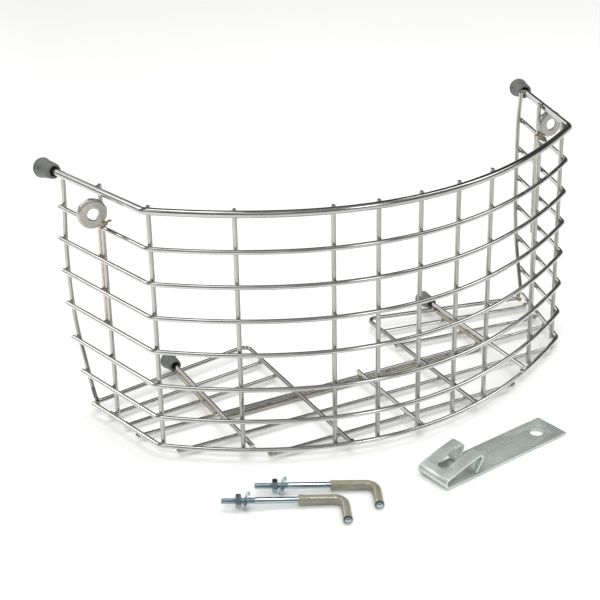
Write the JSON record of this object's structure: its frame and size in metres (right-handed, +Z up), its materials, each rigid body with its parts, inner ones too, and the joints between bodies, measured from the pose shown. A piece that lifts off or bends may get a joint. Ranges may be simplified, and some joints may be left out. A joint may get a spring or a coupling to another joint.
{
  "type": "handlebar basket",
  "caption": "Bowed chromed wire basket for the front of a two-wheeler, open at the top and back, with rubber buffers, eyelets, hook bolts and a folded clamp bracket.",
  "frame": {"origin": "centre of the whole layout in plan, at the level of the surface that the loose fittings lie on", "axes": "+Z up; the bowed front wall faces -Y, the open back faces +Y, +X is the right-hand side seen from the front (the viewer stands at -Y)"},
  "size_m": [0.4092, 0.2586, 0.1878],
  "materials": {
    "rim_chrome": "bright chrome over round steel wire, with small pits",
    "hoop_chrome": "bright chrome with fine weld spatter",
    "stay_chrome": "slightly duller chrome, tinted gold-brown at the welds",
    "floor_chrome": "bright chrome with pits",
    "welded_chrome": "chrome heat-tinted gold-brown along the weld",
    "ear_steel": "matt grey plated pressed steel with a brighter rim",
    "rubber": "dark grey moulded rubber, satin",
    "bolt_zinc": "blue-white zinc plated steel",
    "bracket_zinc": "pale bluish-green zinc plated sheet steel",
    "sleeve_plastic": "glossy translucent olive-grey hose"
  },
  "bodies": {
    "basket": {"bottom_hoop_wire": "hoop_chrome", "centre_floor_wire": "floor_chrome", "corner_stay_left": "stay_chrome", "corner_stay_right": "stay_chrome", "ear_left": "ear_steel", "ear_reinforcement_left": "welded_chrome", "ear_reinforcement_right": "welded_chrome", "ear_right": "ear_steel", "foot_buffer_left": "rubber", "foot_buffer_right": "rubber", "foot_reinforcement_left": "welded_chrome", "foot_reinforcement_right": "welded_chrome", "foot_wire_left": "floor_chrome", "foot_wire_right": "floor_chrome", "front_cross_wire": "floor_chrome", "front_stay_1": "stay_chrome", "front_stay_2": "stay_chrome", "front_stay_3": "stay_chrome", "front_stay_4": "stay_chrome", "front_stay_5": "stay_chrome", "front_stay_6": "stay_chrome", "front_stay_7": "stay_chrome", "hoop_wire_1": "hoop_chrome", "hoop_wire_2": "hoop_chrome", "hoop_wire_3": "hoop_chrome", "hoop_wire_4": "hoop_chrome", "hoop_wire_5": "hoop_chrome", "hoop_wire_6": "hoop_chrome", "main_cross_reinforcement": "welded_chrome", "main_cross_wire": "floor_chrome", "middle_cross_left": "floor_chrome", "middle_cross_right": "floor_chrome", "rear_cross_left": "floor_chrome", "rear_cross_right": "floor_chrome", "rear_frame_left": "stay_chrome", "rear_frame_right": "stay_chrome", "rim_buffer_left": "rubber", "rim_buffer_right": "rubber", "rim_wire": "rim_chrome", "second_cross_wire": "floor_chrome", "side_stay_left": "stay_chrome", "side_stay_right": "stay_chrome"},
    "hook_bolt_a": {"hook_bolt_a": "bolt_zinc", "hook_sleeve_a": "sleeve_plastic"},
    "washer_a": {"washer_a": "bolt_zinc"},
    "nut_a": {"nut_a": "bolt_zinc"},
    "hook_bolt_b": {"hook_bolt_b": "bolt_zinc", "hook_sleeve_b": "sleeve_plastic"},
    "washer_b": {"washer_b": "bolt_zinc"},
    "nut_b": {"nut_b": "bolt_zinc"},
    "clamp_bracket": {"clamp_bracket": "bracket_zinc"}
  },
  "joints": [
    {"name": "hook_bolt_a_lift", "type": "slide", "parent": "basket", "child": "hook_bolt_a", "axis": [0, 0, 1], "range_m": [0, 0.08]},
    {"name": "nut_a_travel", "type": "slide", "parent": "hook_bolt_a", "child": "washer_a", "axis": [0.9127, -0.4062, -0.0436], "range_m": [-0.008, 0.008]},
    {"name": "nut_a_turn", "type": "hinge", "parent": "washer_a", "child": "nut_a", "pos_m": [-0.12082, -0.07326, 0.00623], "axis": [0.9127, -0.4062, -0.0436], "range_deg": [-3605, 3605]},
    {"name": "hook_bolt_b_lift", "type": "slide", "parent": "basket", "child": "hook_bolt_b", "axis": [0, 0, 1], "range_m": [0, 0.08]},
    {"name": "nut_b_travel", "type": "slide", "parent": "hook_bolt_b", "child": "washer_b", "axis": [0.9172, -0.3961, -0.0436], "range_m": [-0.008, 0.008]},
    {"name": "nut_b_turn", "type": "hinge", "parent": "washer_b", "child": "nut_b", "pos_m": [-0.14973, -0.07802, 0.00632], "axis": [0.9172, -0.3961, -0.0436], "range_deg": [-3605, 3605]},
    {"name": "clamp_bracket_lift", "type": "slide", "parent": "basket", "child": "clamp_bracket", "axis": [0, 0, 1], "range_m": [0, 0.08]}
  ],
  "couplings": [
    {"joint": "nut_a_turn", "follows": "nut_a_travel", "rad_per_m": 7854},
    {"joint": "nut_b_turn", "follows": "nut_b_travel", "rad_per_m": 7854}
  ]
}
